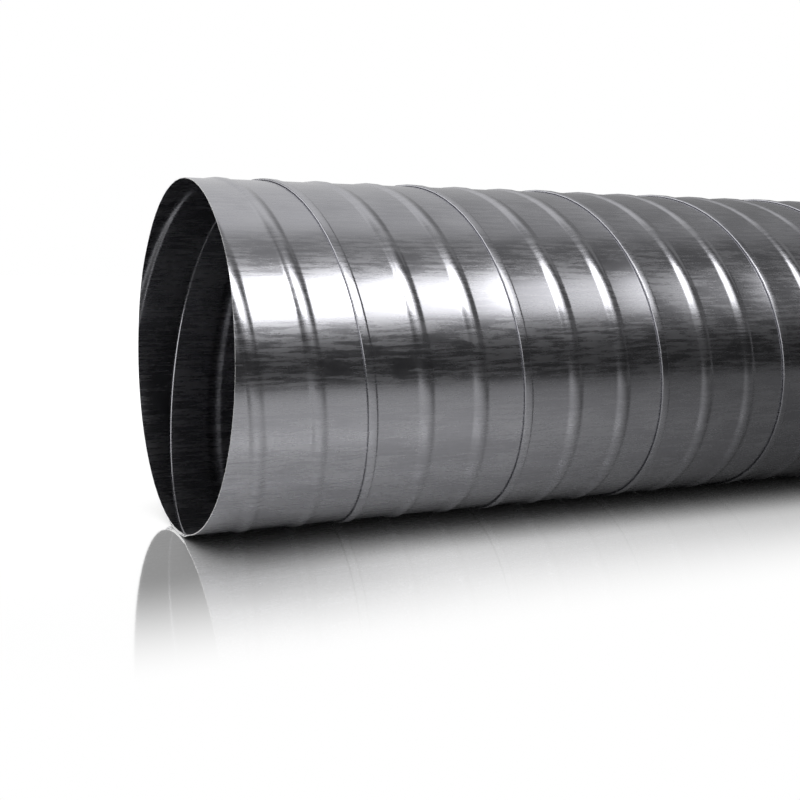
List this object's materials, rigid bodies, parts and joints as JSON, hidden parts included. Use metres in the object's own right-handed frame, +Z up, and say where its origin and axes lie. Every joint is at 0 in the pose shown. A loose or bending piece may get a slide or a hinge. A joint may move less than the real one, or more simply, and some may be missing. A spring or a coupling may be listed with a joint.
{
  "type": "spiral duct section",
  "caption": "Round air duct wound from a galvanised steel strip, with a helical lock seam and rolled stiffening ribs outside and open square-cut ends.",
  "frame": {"origin": "centre of the lower open end, on the duct's axis", "axes": "+Z up the duct's axis as it stands on its end, from the end outside the picture to the end near the camera; -Y is the side seen in the picture, and -X the side it lies on there"},
  "size_m": [0.254, 0.254, 1],
  "materials": {
    "galvanised_steel": "bare zinc coating, semi-gloss, with fine rolling lines and light handling marks"
  },
  "bodies": {
    "root": {"duct_wall": "galvanised_steel"}
  },
  "joints": []
}
